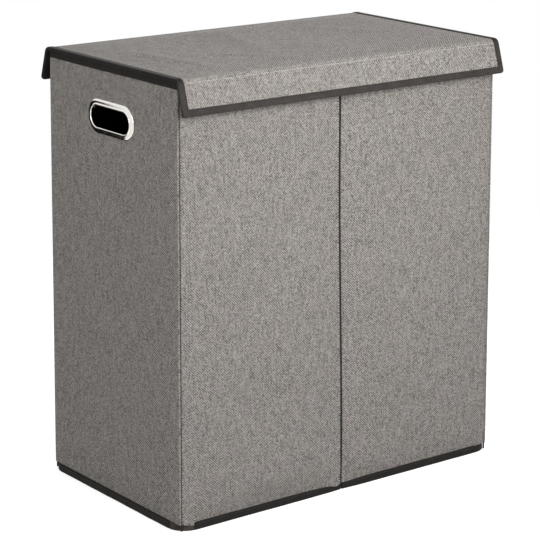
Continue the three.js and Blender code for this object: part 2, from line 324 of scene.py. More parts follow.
def soft_waves(across, along, seed, sizes=(0.16, 0.23), count=5):
    """A gentle uneven swell over a sheet, from -1 to 1."""
    draw = random.Random(seed)
    total = np.zeros(np.broadcast(across, along).shape)
    for _ in range(count):
        turn = draw.uniform(0, math.pi)
        size = draw.uniform(*sizes)
        start = draw.uniform(0, 2 * math.pi)
        total += np.sin((across * math.cos(turn) + along * math.sin(turn)) * 2 * math.pi / size + start)
    return total / count


def lining_cloth(name, dark, light):
    """Black non-woven lining: pressed fibres with a fine grid of heat-bonded dots."""
    cloth = Shader(name)
    place = cloth.weave()
    dots = cloth.node(
        "TexVoronoi",
        {"feature": "F1", "voronoi_dimensions": "2D"},
        {"Vector": place, "Scale": 620, "Randomness": 0.1},
    )
    fibres = grain(cloth, place, (0.0012, 0.004, 1), 3)
    patches = grain(cloth, place, (0.05, 0.05, 1))
    pressed = cloth.node("MapRange", None, {"Value": dots, "From Min": 0.15, "From Max": 0.4})
    shade = fibres * 0.8 + patches * 0.5 + pressed * 0.25 - 0.4
    return finish_surface(
        cloth, mixed(cloth, shade, dark, light), 0.72 + pressed * 0.2,
        bumped(cloth, pressed + fibres * 0.6, 0.0002, 0.7), Sheen_Weight=0.05, Specular_IOR_Level=0.2,
    )


black_lining = lining_cloth("black non-woven lining", paint(22, 22, 23), paint(44, 44, 45))

bottom_x = np.linspace(-SIDE_FACE + BOTTOM_EDGE, SIDE_FACE - BOTTOM_EDGE, 60)[:, None]
bottom_y = np.linspace(-FRONT_FACE + BOTTOM_EDGE, FRONT_FACE - BOTTOM_EDGE, 36)
bottom_wave = BOTTOM_WAVE * (1 + soft_waves(bottom_x, bottom_y, 3))
bottom_face = spread(bottom_x, bottom_y, BOTTOM_CLOTH - HAIR - bottom_wave)
bottom_sheet = shell(
    "bottom_sheet", bottom_face, bottom_face - (0, 0, BOTTOM_THICK), flat_places(bottom_x, bottom_y, 1)
)
bottom_sheet.data.materials.append(black_lining)
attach(bottom_sheet, "box")
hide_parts("bottom_cloth")

# Wall covers: grey linen-look cloth, woven of light and dark yarns. Each side wall's cloth turns
# the corner by about 3 mm and is sewn there to the front and back panels, and two panels meet at
# the middle of the front and of the back. The box swells a little toward its foot.
COVER = 0.0008
FOOT_SWELL = 0.004
LIP, LIP_DEPTH, LIP_ROLL, LIP_GAP = 0.0026, 0.0024, 0.0008, 0.0011
SEAM_DEPTH, SEAM_ROLL, SEAM_NEAR, SEAM_FAR = 0.0007, 0.0005, 0.0012, 0.0056
SEAM_LEAN, LEAN_FROM, LEAN_OVER = (0.0036, 0.0066), 0.06, 0.42
CORNER_ROLL = 0.0014
FULLNESS, SIDE_FULLNESS, CORNER_EASE, SEAM_EASE = 0.0024, 0.0009, 0.010, 0.007
SEAM_RIDGE, RIDGE_WIDTH = 0.0005, 0.006
HEM_LINE, HEM_DEPTH, HEM_ROLL, HEM_REACH = 0.0100, 0.0020, 0.0014, 0.05
SWELL, SWELL_SIZES, SWELL_EDGE, SWELL_EASE = 0.0016, (0.11, 0.24), 0.012, 0.03
RIM_EDGE, RIM_EASE = 0.010, 0.05
SAG_REACH, NIP, NIP_REACH, PUSHED = 0.030, 0.0030, 0.0022, 0.75
TUCK, TUCK_EASE, TUCK_STEP = 0.0195, 0.020, 0.0015
HANDLE_MIDDLE = (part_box("right_handle_ring")[0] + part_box("right_handle_ring")[1]) / 2
HANDLE_STRAIGHT = 0.063
CLOTH_HOLE_RADIUS, RING_REACH, RING_EASE = 0.0185, 0.060, 0.032
lip_x, lip_y = SIDE_FACE - LIP, FRONT_FACE - LIP_DEPTH
panel_x, seam_x, seam_y = lip_x - LIP_GAP, lip_x - LIP_GAP / 2, FRONT_FACE - SEAM_DEPTH


def ramp(distance, width):
    """0 up to an edge, and 1 from this width past it on."""
    return np.clip(distance / width, 0, 1)


def between(value, low, high, ease_low, ease_high):
    """1 between two edges and 0 beyond them, with a ramp inside each edge."""
    return ramp(value - low, ease_low) * ramp(high - value, ease_high)


def swelled(points):
    """Points of the box's outer cloth, let out a little toward the foot. On the front the middle
    seam leans to the left as it rises, and the cloth beside it goes along."""
    share = FOOT_SWELL * np.clip(1 - points[..., 2] / WALL_TOP, 0, 1)
    out = np.array(points, float)
    out[..., 0] *= 1 + share / SIDE_FACE
    out[..., 1] *= 1 + share / FRONT_FACE
    rise = ramp(points[..., 2] - LEAN_FROM, LEAN_OVER)
    lean = SEAM_LEAN[0] + SEAM_LEAN[1] * rise * rise * (3 - 2 * rise)
    out[..., 0] -= lean * (points[..., 1] < 0) * np.clip(1 - np.abs(points[..., 0]) / panel_x, 0, 1)
    return out


def run_lengths(points):
    """How far along their line the points are."""
    return np.concatenate([[0], np.cumsum(np.linalg.norm(np.diff(points, axis=0), axis=1))])


def unit(vector):
    """The same way, one long."""
    return vector / np.linalg.norm(vector)


def rounded_line(corners, radii, step, arc_step=0.0006, counts=None):
    """Points, left-hand normals and lengths along a line whose corners are rounded.
    Counts are the steps in each straight, and in each arc, where several lines have to match."""
    corners = [np.array(c, float) for c in corners]
    points, normals = [], []
    start = corners[0]
    for k in range(1, len(corners)):
        along = unit(corners[k] - corners[k - 1])
        side = np.array([-along[1], along[0]])
        radius, stop, turn = 0, corners[k], 0
        if k < len(corners) - 1:
            onward = unit(corners[k + 1] - corners[k])
            turn = math.atan2(along[0] * onward[1] - along[1] * onward[0], along @ onward)
            radius = radii[k - 1]
            reach = radius * math.tan(abs(turn) / 2)
            stop = corners[k] - along * reach
        pieces = counts[0][k - 1] if counts else max(1, math.ceil(np.linalg.norm(stop - start) / step))
        for share in np.linspace(0, 1, pieces + 1)[0 if k == 1 else 1:]:
            points.append(start + (stop - start) * share)
            normals.append(side)
        if radius > 0:
            bent = math.copysign(1, turn)
            centre = stop + side * radius * bent
            arcs = counts[1] if counts else max(3, math.ceil(abs(turn) * radius / arc_step))
            for share in np.linspace(0, 1, arcs + 1)[1:]:
                cosine, sine = math.cos(turn * share), math.sin(turn * share)
                ray = np.array([side[0] * cosine - side[1] * sine, side[0] * sine + side[1] * cosine])
                points.append(centre - ray * radius * bent)
                normals.append(ray)
        if k < len(corners) - 1:
            start = corners[k] + onward * reach
    points = np.array(points)
    return points, np.array(normals), run_lengths(points)


def bell(distance, width):
    """1 at no distance, falling softly to 0."""
    return np.exp(-((distance / width) ** 2))


def twill(shader, place, pitch):
    """A twill that repeats over four threads: each point's column and row, and 1 where the warp is
    on top."""
    column, row = (
        count.math("FLOOR", count)
        for count in (shader.node("SeparateXYZ", None, {0: place}, output=axis) / pitch for axis in "XY")
    )
    diagonal = column + row
    step = diagonal.math("FLOORED_MODULO", diagonal, 4.0)
    return column, row, step.math("LESS_THAN", step, 1.5)


CLOTH_PITCH, CLOTH_RUN = 0.00088, 3.0
CLOTH_WEAVE, CLOTH_YARN, CLOTH_SLUB = 0.46, 0.72, 0.42


def linen_cloth(name, dark, light, warm, cool):
    """Linen-look cloth, woven in a small twill. Every yarn changes between dark and light along
    its length, the warp is the lighter one, and the dye drifts between two greys."""
    cloth = Shader(name)
    place = cloth.weave()
    column, row, warp_up = twill(cloth, place, CLOTH_PITCH)

    def yarn(thread, crossing, shift):
        part = crossing / CLOTH_RUN
        spot = cloth.node("CombineXYZ", None, {"X": thread, "Y": part.math("FLOOR", part), "Z": shift})
        return cloth.node("TexWhiteNoise", {"noise_dimensions": "3D"}, {"Vector": spot})

    warp, weft = yarn(column, row, 1.0), yarn(row, column, 5.0)
    slub = grain(cloth, place, (0.004, 0.03, 1), 2)
    dye = grain(cloth, place, (0.013, 0.045, 1), 2)
    yarns = warp_up * (warp - 0.5) + (1 - warp_up) * (weft - 0.5)
    shade = 0.5 + (warp_up - 0.5) * CLOTH_WEAVE + yarns * CLOTH_YARN + (slub - 0.5) * CLOTH_SLUB
    tone = cloth.node("MapRange", None, {"Value": dye, "From Min": 0.35, "From Max": 0.65})
    tinted = cloth.node(
        "Mix", {"data_type": "RGBA", "blend_type": "MULTIPLY"},
        {0: 1.0, 6: mixed(cloth, shade, dark, light), 7: mixed(cloth, tone, warm, cool)}, output=2,
    )
    relief = bumped(cloth, warp_up, 0.00006, 0.3)
    return finish_surface(
        cloth, tinted, 0.84 + slub * 0.12, relief, Sheen_Weight=0.04, Specular_IOR_Level=0.08
    )


linen = linen_cloth(
    "grey linen-look cloth", paint(54, 52, 51), paint(188, 182, 178),
    (1.0, 0.982, 0.985, 1), (0.985, 1.0, 0.962, 1),
)


def eased(distance, width):
    """0 at an edge and 1 past this width from it, rounded like a pillow's side."""
    return np.sqrt(1 - (1 - ramp(distance, width)) ** 2)


def wall_cloth(name, line, drop, hem_out, seed, fullness, slant=-1, missing=None, held=None):
    """A panel that follows a plan line upward, with its foot turned in under a rounded hem.
    Fullness is how far it stands off its board, drop and hem_out shape its foot, and slant is
    the way in which the weave's diagonal leans. Held tells where the cloth is pressed flat."""
    plan, outward, lengths = line
    rise, rise_in, heights = rounded_line(
        [(-HEM_DEPTH, HEM_LINE), (0, HEM_LINE), (0, WALL_TOP)], [HEM_ROLL], 0.009
    )
    level = rise[:, 1:]
    above = ramp(level - HEM_LINE, HEM_REACH)
    swell = SWELL * (1 + 1.3 * soft_waves(lengths, heights[:, None], seed, SWELL_SIZES))
    swell = swell * np.clip(above * 2, 0, 1) * ramp(WALL_TOP - SWELL_EDGE - level, SWELL_EASE)
    swell = swell * between(lengths, SWELL_EDGE, lengths[-1] - SWELL_EDGE, SWELL_EASE, SWELL_EASE)
    full = ramp(WALL_TOP - RIM_EDGE - level, RIM_EASE) ** 0.5 * np.clip((level - 0.006) / 0.03, 0.35, 1)
    free = 1 if held is None else 1 - held(plan, level)
    swell = free * swell + hem_out * (1 - above) ** 2 + free * full * fullness
    sheets = []
    for inset in (0, COVER):
        out = rise[:, :1] + swell - inset * np.abs(rise_in[:, :1])
        high = level - drop * (1 - above) ** 2 + inset * np.abs(rise_in[:, 1:])
        flat = plan + outward * out[..., None]
        sheets.append(swelled(spread(flat[..., 0], flat[..., 1], high)))
    cut = None if missing is None else missing(sheets[0])
    piece = shell(name, *sheets, flat_places(slant * lengths, heights[:, None], seed), missing=cut)
    piece.data.materials.append(linen)
    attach(piece, "box")
    return piece


def from_handle(across, level):
    """How far a side wall's points are from the level line in the middle of the handle's hole."""
    return np.hypot(np.clip(np.abs(across) - HANDLE_STRAIGHT / 2, 0, None), level - HANDLE_MIDDLE.z)


def hole_cells(grid):
    """The cells of a side wall's grid that lie in the handle's hole."""
    middle = (grid[:-1, :-1] + grid[1:, 1:]) / 2
    inside = from_handle(middle[..., 1], middle[..., 2]) < CLOTH_HOLE_RADIUS
    return inside & (np.abs(middle[..., 0]) > SIDE_FACE - 0.01)


def under_ring(plan, level):
    """1 on a side wall where the handle ring presses on it, and 0 well away from there."""
    pressed = ramp(RING_REACH - from_handle(plan[..., 1], level), RING_EASE)
    return pressed * (np.abs(plan[..., 0]) > SIDE_FACE - CORNER_ROLL)


side_corners = np.array([
    (-lip_x, -lip_y), (-lip_x, -FRONT_FACE), (-SIDE_FACE, -FRONT_FACE),
    (-SIDE_FACE, FRONT_FACE), (-lip_x, FRONT_FACE), (-lip_x, lip_y),
])
for side, turned in (("left", 1), ("right", -1)):
    side_line = rounded_line(side_corners * turned, [LIP_ROLL, CORNER_ROLL, CORNER_ROLL, LIP_ROLL], 0.006)
    beside, ahead = np.abs(side_line[0]).T
    side_full = SIDE_FULLNESS * eased(FRONT_FACE - ahead, CORNER_EASE) * (beside > SIDE_FACE - CORNER_ROLL)
    side_cloth = wall_cloth(
        f"{side}_wall_cloth", side_line, 0, 0, 11 + turned, side_full, 1, hole_cells, under_ring
    )
    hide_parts(f"{side}_wall_cover")

first_half = np.array([
    (-SEAM_NEAR, -seam_y), (-SEAM_NEAR, -FRONT_FACE), (-panel_x, -FRONT_FACE), (-panel_x, -lip_y),
])
second_half = np.array([
    (panel_x, -lip_y), (panel_x, -FRONT_FACE), (SEAM_FAR, -FRONT_FACE), (SEAM_FAR, -seam_y),
])
for name, half, rolls, turned, sag, corner_sag in (
    ("front_left", first_half, [SEAM_ROLL, LIP_ROLL], 1, 0.0034, 0.0044),
    ("front_right", second_half, [LIP_ROLL, SEAM_ROLL], 1, 0.0012, 0.0010),
    ("back_right", first_half, [SEAM_ROLL, LIP_ROLL], -1, 0.0028, 0.0020),
    ("back_left", second_half, [LIP_ROLL, SEAM_ROLL], -1, 0.0020, 0.0010),
):
    half_line = rounded_line(half * turned, rolls, 0.004)
    from_seam = np.abs(half_line[0][:, 0])
    from_corner = panel_x - from_seam
    tucked = between(from_corner, 0, TUCK, TUCK_EASE, TUCK_STEP)
    sagged = sag * bell(from_seam, SAG_REACH) - NIP * bell(from_seam, NIP_REACH) + corner_sag * tucked
    pushed_out = sag * PUSHED * bell(from_seam, SAG_REACH) + corner_sag * PUSHED * tucked
    half_full = FULLNESS * eased(from_corner, CORNER_EASE)
    if half is first_half:
        half_full = half_full + SEAM_RIDGE * bell(from_seam - SEAM_NEAR, RIDGE_WIDTH)
    else:
        half_full = half_full * ramp(from_seam - SEAM_FAR, SEAM_EASE)
    half_cloth = wall_cloth(
        f"{name}_cloth", half_line, sagged, pushed_out, 20 + len(name) * turned, half_full
    )
    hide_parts(f"{name}_cover")

# Seam welts: a strip of black lining under each corner seam and each middle seam, which keeps
# the boards from showing where two panels meet. Its black is painted shade: it stands for the
# deep shadow in each seam's groove.
WELT_DEPTH, WELT_THICK = 0.00062, 0.00015
MIDDLE_SEAM = 0.0030
welt_z = np.linspace(BOTTOM_CLOTH + 2 * HAIR, WALL_TOP, 80)[:, None]
for end, side in ((-1, "front"), (1, "back")):
    for seam, middle, half in (
        ("left_corner", end * seam_x, 0.0016), ("middle", -end * MIDDLE_SEAM, 0.0056),
        ("right_corner", -end * seam_x, 0.0016),
    ):
        welt_x = np.linspace(middle - half, middle + half, 15)
        welt_face = swelled(spread(welt_x, end * (FRONT_FACE - WELT_DEPTH), welt_z))
        # The welt's black lining is painted shade, the dark line down the seam.
        seam_shade_welt = shell(
            f"{side}_{seam}_welt", welt_face, welt_face - (0, end * WELT_THICK, 0),
            flat_places(welt_x, welt_z, 27 + end),
        )
        seam_shade_welt.data.materials.append(black_lining)
        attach(seam_shade_welt, "box")

# Stitching: dark thread, one row down each corner seam and each middle seam.
# Every stitch is a short length of thread whose two ends dip into the cloth.
STITCH_RINGS = ((-0.5, 0.05, -0.9), (-0.36, 0.8, 0.0), (0, 1, 0.35), (0.36, 0.8, 0.0), (0.5, 0.05, -0.9))
STITCH_SIDES, STITCH_SHARE, SEAM_STITCH = 5, 0.78, (0.0040, 0.00045)


def tube_faces(rings, sides, start=0, closed=False):
    """The faces of a tube of rings of points, from its first point on. Closed joins its two ends."""
    return [
        tuple(
            start + (ring + further) % rings * sides + (side + beside) % sides
            for further, beside in ((0, 0), (0, 1), (1, 1), (1, 0))
        )
        for ring in range(rings if closed else rings - 1) for side in range(sides)
    ]


def thread(name, rows, size, colour):
    """Rows of stitches, each row a line of points and the surface's normals there. Size is the
    stitches' pitch and their thread's radius. Each of a stitch's rings has a place along it, a
    width and a height off the cloth."""
    pitch, radius = size
    points, faces = [], []
    for line, normals in rows:
        lengths = run_lengths(line)
        for middle in np.arange(pitch, lengths[-1] - pitch / 2, pitch):
            centre, before, after, normal = (
                np.array([np.interp(middle + shift, lengths, track[:, k]) for k in range(3)])
                for shift, track in ((0, line), (-pitch / 3, line), (pitch / 3, line), (0, normals))
            )
            along = unit(after - before)
            up = unit(normal - along * (normal @ along))
            side = np.cross(along, up)
            start = len(points)
            for share, width, lift in STITCH_RINGS:
                ring_middle = centre + along * share * pitch * STITCH_SHARE + up * lift * radius
                for turn in range(STITCH_SIDES):
                    angle = 2 * math.pi * turn / STITCH_SIDES
                    ray = up * math.cos(angle) + side * math.sin(angle)
                    points.append(ring_middle + ray * radius * width)
            faces += tube_faces(len(STITCH_RINGS), STITCH_SIDES, start)
            faces.append(range(start + STITCH_SIDES - 1, start - 1, -1))
            faces.append(range(len(points) - STITCH_SIDES, len(points)))
    piece = mesh_object(name, points, faces)
    piece.data.materials.append(colour)
    return piece


def spun_thread(name, dark, light):
    """Sewing thread, with the fine slant of its twist."""
    spun = Shader(name)
    twist = spun.node(
        "TexWave", {"wave_type": "BANDS", "bands_direction": "DIAGONAL"},
        {"Vector": spun.here(), "Scale": 900, "Distortion": 2},
    )
    colour = mixed(spun, twist, dark, light)
    return finish_surface(spun, colour, 0.6 + twist * 0.2, bumped(spun, twist, 0.0001))


grey_thread = spun_thread("dark grey thread", paint(38, 36, 34), paint(84, 80, 76))

seam_heights = np.linspace(HEM_LINE + 0.002, WALL_TOP - 0.011, 90)
seam_rows = []
for across in (seam_x, MIDDLE_SEAM, -seam_x):
    for end in (-1, 1):
        upright = spread(-end * across, end * (FRONT_FACE - 2 * HAIR), seam_heights)
        seam_rows.append((swelled(upright), spread(0, end, 0 * seam_heights)))
seam_stitches = thread("wall_seam_stitches", seam_rows, SEAM_STITCH, grey_thread)
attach(seam_stitches, "box")

# Bin linings: a sleeve of black non-woven cloth in each bin, in front of the boards on three
# sides and of the divider on the fourth, where it ends lower. It is sewn in under the rim.
LINING = 0.0005
LINING_CORNER, SLACK, SLACK_SIZES = 0.0025, 0.0009, (0.10, 0.20)
BOARD_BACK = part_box("right_wall_board")[0].x
FRONT_BOARD_BACK = -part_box("front_left_board")[1].y
DIVIDER_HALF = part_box("divider_board")[1].x
DIVIDER_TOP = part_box("divider_board")[1].z


def plan_loop(low_x, high_x, half_y, radius, counts):
    """A closed rectangle seen from above, clockwise from the middle of its front."""
    middle = (low_x + high_x) / 2
    corners = [
        (middle, -half_y), (low_x, -half_y), (low_x, half_y),
        (high_x, half_y), (high_x, -half_y), (middle, -half_y),
    ]
    across, deep, arcs = counts
    pieces = [across, deep, 2 * across, deep, across]
    points, normals, lengths = rounded_line(corners, [radius] * 4, 1, counts=(pieces, arcs))
    return points[:-1], normals[:-1], lengths[:-1]


for side, sign in (("left", -1), ("right", 1)):
    low, high = sorted((sign * DIVIDER_HALF, sign * BOARD_BACK))
    plan, outward, lengths = plan_loop(low, high, FRONT_BOARD_BACK, LINING_CORNER, (22, 40, 4))
    heights = np.concatenate([
        np.linspace(BOTTOM_CLOTH + 2 * HAIR, DIVIDER_TOP, 70), np.linspace(DIVIDER_TOP, WALL_TOP, 4)[1:],
    ])
    level = heights[:, None]
    on_wall = np.abs(plan[:, 0]) > BOARD_BACK - 0.003
    on_divider = np.abs(plan[:, 0]) < DIVIDER_HALF + 0.003
    from_ring = np.hypot(plan[:, 1], level - HANDLE_MIDDLE.z)
    slack = SLACK * (1 + soft_waves(lengths, level, 31 + sign, SLACK_SIZES))
    slack = slack * between(level, 0.004, DIVIDER_TOP - 0.012, 0.03, 0.03)
    slack = slack * (1 - np.where(on_wall, bell(from_ring, 0.075), 0))
    sheets = []
    for inset in (LINING, 0.0):
        flat = plan - outward * (slack + inset)[..., None]
        sheets.append(spread(flat[..., 0], flat[..., 1], level))
    cells = hole_cells(np.concatenate([sheets[0], sheets[0][:, :1]], axis=1))
    cells |= (level[:-1] >= DIVIDER_TOP - HAIR) & on_divider & np.roll(on_divider, -1)
    sleeve = shell(
        f"{side}_bin_sleeve", *sheets, flat_places(lengths, level, 35 + sign), loop=True, missing=cells
    )
    sleeve.data.materials.append(black_lining)
    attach(sleeve, "box")
    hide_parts(f"{side}_bin_lining")
    lengths[-1] + 0.006

# Divider tape: black binding folded over the divider's top edge and over both linings.
# It is the same woven tape as on the rim, the lid and the flaps.
TAPE, TAPE_WIDTH, TAPE_PITCH, DIVIDER_TAPE_ROLL = 0.0006, 0.0095, 0.0009, 0.0013
TAPE_SHADES = (paint(12, 12, 11), paint(46, 43, 40))
DIVIDER_TAPE_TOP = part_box("divider_binding")[1].z


def binding_tape(name, dark, light, painted_light=None):
    """Twill binding: two shades of dark yarn in a fine slant, and a little dust in its hollows.
    The last argument is an optional pair of paler shades, painted light: a lit copy of the tape,
    used where the point attribute of the same name is 1."""
    tape = Shader(name)
    place = tape.weave()
    warp_up = twill(tape, place, TAPE_PITCH)[2]
    fibres = grain(tape, place, (0.0016, 0.0019, 1), 3)
    patches = grain(tape, place, (0.03, 0.02, 1))
    shade = warp_up * 0.45 + (fibres - 0.5) * 2.2 + (patches - 0.5) * 0.8 + 0.28
    relief = bumped(tape, warp_up * 0.6 + fibres * 0.4, 0.00008, 0.5)
    colour = mixed(tape, shade, dark, light)
    if painted_light:
        # Where this point attribute is 1 the tape takes the paler pair of shades: painted light.
        share = tape.node("Attribute", {"attribute_name": "painted_light"}, output="Fac")
        colour = mixed(tape, share, colour, mixed(tape, shade, *painted_light))
    return finish_surface(
        tape, colour, 0.72 + fibres * 0.15, relief, Sheen_Weight=0.05, Specular_IOR_Level=0.14
    )


black_tape = binding_tape("black binding tape", *TAPE_SHADES)


def tape_piece(name, outer, inner, across, along, seed, loop=False, material=black_tape):
    """A binding tape between two grids of points, or a piece of one."""
    piece = shell(name, outer, inner, flat_places(across, along, seed), loop=loop)
    piece.data.materials.append(material)
    return piece


tape_x, tape_foot = DIVIDER_HALF + LINING + TAPE, DIVIDER_TAPE_TOP - TAPE_WIDTH
section, section_out, widths = rounded_line(
    [(-tape_x, tape_foot), (-tape_x, DIVIDER_TAPE_TOP), (tape_x, DIVIDER_TAPE_TOP), (tape_x, tape_foot)],
    [DIVIDER_TAPE_ROLL, DIVIDER_TAPE_ROLL], 0.0016,
)
stations = np.linspace(-1, 1, 70)[:, None] * (FRONT_BOARD_BACK - LINING - 2 * HAIR)
grids = [
    spread(flat[:, 0], stations, flat[:, 1]) for flat in (section, section - section_out * (TAPE - HAIR))
]
divider_tape = tape_piece("divider_tape", *grids, widths, stations, 41)
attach(divider_tape, "box")
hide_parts("divider_binding")

# Rim tape: one binding folded over the top edge of all four walls, cover, board and lining.
# Its lower edge wavers a little over one row of stitches.
RIM_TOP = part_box("rim_binding")[1].z
RIM_FOOT = RIM_TOP - TAPE_WIDTH
RIM_THICK = SIDE_FACE - BOARD_BACK + LINING + 2 * TAPE
RIM_COUNTS = (46, 52, 4)
RIM_ROLL, RIM_PUFF, RIM_WAVER = 0.0012, 0.0002, 0.00045
ROW_ABOVE_EDGE, TAPE_STITCH = 0.0018, (0.0034, 0.00028)

inner_rim, _, _ = plan_loop(
    -BOARD_BACK + LINING + TAPE, BOARD_BACK - LINING - TAPE,
    FRONT_BOARD_BACK - LINING - TAPE, 0.0006, RIM_COUNTS,
)
outer_rim, rim_out, rim_lengths = plan_loop(
    -SIDE_FACE - TAPE, SIDE_FACE + TAPE, FRONT_FACE + TAPE, 0.0024, RIM_COUNTS
)
section, section_out, widths = rounded_line(
    [(0, RIM_FOOT), (0, RIM_TOP), (RIM_THICK, RIM_TOP), (RIM_THICK, RIM_FOOT)], [RIM_ROLL, RIM_ROLL], 0.0008
)
rim_waver = RIM_WAVER * soft_waves(rim_lengths, 0 * rim_lengths, 43, (0.02, 0.06))[:, None]
grids = []
for flat, puff in ((section, RIM_PUFF), (section - section_out * (TAPE - HAIR), 0)):
    share = flat[:, :1] / RIM_THICK
    plan = inner_rim[:, None] * (1 - share) + outer_rim[:, None] * share
    high = flat[:, 1] + section_out[:, 1] * puff
    waver = rim_waver * ((RIM_TOP - high) / TAPE_WIDTH) ** 2
    grids.append(spread(plan[..., 0], plan[..., 1], high + waver))
rim_tape = tape_piece("rim_tape", *grids, widths, rim_lengths[:, None], 44, loop=True)
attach(rim_tape, "box")
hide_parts("rim_binding")

black_thread = spun_thread("black thread", paint(12, 12, 12), paint(44, 43, 42))
rim_row = spread(*outer_rim.T, RIM_FOOT + ROW_ABOVE_EDGE)
rim_stitches = thread("rim_stitches", [(rim_row, spread(*rim_out.T, 0))], TAPE_STITCH, black_thread)
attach(rim_stitches, "box")

# Foot tape: a thicker bound hem round the foot, which stands a little proud of the walls.
# It turns the corners in a wide curve under the cloth's sharp ones, its joint is lapped near the
# front left corner, and it dips in below the middle seams.
FOOT_TAPE_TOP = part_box("foot_binding")[1].z
FOOT_PROUD, FOOT_CORNER, FOOT_THICK = 0.0036, 0.024, 0.0008
FOOT_X, FOOT_Y = SIDE_FACE + FOOT_SWELL, FRONT_FACE + FOOT_SWELL
FOOT_DENTS = ((-0.0016, 0.020), (-0.0022, 0.0014))
FOOT_WAVER, CORNER_LIFT, FOOT_STITCH = 0.0004, 0.0010, (0.0038, 0.0003)
LAP_START, LAP_REACH, LAP_SINK = FOOT_X - 0.023, 0.046, 0.0016
foot_loop, foot_out, foot_lengths = plan_loop(
    -FOOT_X - FOOT_PROUD, FOOT_X + FOOT_PROUD, FOOT_Y + FOOT_PROUD, FOOT_CORNER, (80, 80, 14)
)
foot_round = foot_lengths[-1] + np.linalg.norm(foot_loop[0] - foot_loop[-1])
foot_section, foot_section_out, foot_widths = rounded_line(
    [(-0.0070, 0.0093), (-0.0036, 0.0096), (-0.0002, FOOT_TAPE_TOP + 0.0003), (0.0002, 0), (-0.0095, 0)],
    [0.0012, 0.0014, 0.0013], 0.0013, 0.0005,
)


def foot_grid(place, sheet_in):
    """The foot tape's section, set out at these places along its loop. It sinks in near the front
    left corner, where one end of the tape lies under the other."""
    around = np.append(foot_lengths, foot_round)
    plan, out = (
        spread(*(np.interp(place % foot_round, around, np.append(part, part[0])) for part in track.T))
        for track in (foot_loop, foot_out)
    )
    out = out / np.linalg.norm(out, axis=1, keepdims=True)
    from_seam = np.abs(plan[:, 0])
    dent = sum(depth * bell(from_seam, width) for depth, width in FOOT_DENTS)
    dent = dent + FOOT_WAVER * soft_waves(place, 0 * place, 47, (0.03, 0.09))
    dent = dent - LAP_SINK * between(place, LAP_START, LAP_START + LAP_REACH, 0.0015, 0.008)
    lift = CORNER_LIFT * np.abs(out[:, :1] * out[:, 1:]) * 2
    flat = foot_section + foot_section_out * sheet_in
    reach = flat[:, 0] + dent[:, None]
    high = np.maximum(flat[:, 1], 0) + lift * np.clip(flat[:, 1] / 0.004, 0.6, 1)
    grid = plan[:, None] + out[:, None] * reach[..., None]
    return spread(grid[..., 0], grid[..., 1], high)


foot_places = np.unique(np.concatenate([
    foot_lengths, np.linspace(LAP_START - 0.001, LAP_START + 0.003, 12),
    np.linspace(0, 0.004, 8), foot_round - np.linspace(0.0005, 0.004, 8),
]))
foot_tape = tape_piece(
    "foot_tape", foot_grid(foot_places, 0), foot_grid(foot_places, -FOOT_THICK),
    foot_widths, foot_places[:, None], 48, loop=True,
)
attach(foot_tape, "box")
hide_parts("foot_binding")

worn_tape = binding_tape("worn binding tape", paint(34, 32, 29), paint(84, 78, 72))
lap_places = np.linspace(LAP_START + 0.0014, LAP_START + 0.040, 40)
foot_lap = tape_piece(
    "foot_tape_lap", foot_grid(lap_places, 0.0005), foot_grid(lap_places, HAIR),
    foot_widths, lap_places[:, None], 49, material=worn_tape,
)
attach(foot_lap, "box")

on_face = np.argmin(np.abs(foot_section[:, 1] - 0.0082) + (foot_section[:, 0] < -0.001))
foot_row = foot_grid(foot_lengths, 0)[:, on_face]
foot_stitches = thread("foot_stitches", [(foot_row, spread(*foot_out.T, 0))], FOOT_STITCH, black_thread)
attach(foot_stitches, "box")

# Handle rings: a chromed steel eyelet in each side wall. A rolled bead stands round the opening,
# the flange slopes away from it over the cloth, and the barrel is clenched over a washer inside.
RING_RADIUS, RING_LIFT, RING_STATIONS = 0.015, 0.0008, 29
ring_barrel = [
    (0.0008, -0.0053), (0.0030, -0.0053), (0.0032, -0.0057), (0.0029, -0.0061), (0.0006, -0.0061),
    (0.0001, -0.0057), (0, -0.0040), (0, -0.0020), (0, 0.0),
]
ring_bead = [
    (0.0013 - 0.0013 * math.cos(turn), 0.0017 + 0.0014 * math.sin(turn))
    for turn in np.linspace(0, math.radians(125), 9)
]
ring_flange = [
    (0.0030, 0.00212), (0.0036, 0.00206), (0.0046, 0.00198), (0.0057, 0.00182), (0.0068, 0.00158),
    (0.0078, 0.00126), (0.0086, 0.00092), (0.0089, 0.00060), (0.0090, 0.0001), (0.0088, -0.0002),
    (0.0060, 0.0006), (0.0030, 0.0010), (0.0010, 0.0010), (0.0008, 0.0004),
]
ring_section = ring_barrel + ring_bead + ring_flange
chrome_paint = Shader("chromed steel")
chrome_place = chrome_paint.here()
chrome_haze = grain(chrome_paint, chrome_place, (0.006, 0.006, 0.006), 4)
chrome_swirl = grain(chrome_paint, chrome_place, (0.0004, 0.004, 0.0004), 2)
chrome = finish_surface(
    chrome_paint, mixed(chrome_paint, chrome_haze, paint(224, 221, 215), paint(242, 239, 233)),
    0.05 + chrome_haze * 0.06 + chrome_swirl * 0.03, bumped(chrome_paint, chrome_haze, 0.00004, 0.3),
    Metallic=1,
)
steel_paint = Shader("zinc plated steel")
steel_spangle = steel_paint.node("TexVoronoi", None, {"Vector": steel_paint.here(), "Scale": 260})
steel = finish_surface(
    steel_paint, mixed(steel_paint, steel_spangle, paint(150, 152, 155), paint(196, 198, 200)),
    0.32 + steel_spangle * 0.15, bumped(steel_paint, steel_spangle, 0.00005, 0.3), Metallic=1,
)
ring_stations = [
    (end * HANDLE_STRAIGHT / 2, turn)
    for end, start in ((1, -90), (-1, 90))
    for turn in np.radians(np.linspace(start, start + 180, RING_STATIONS))
]
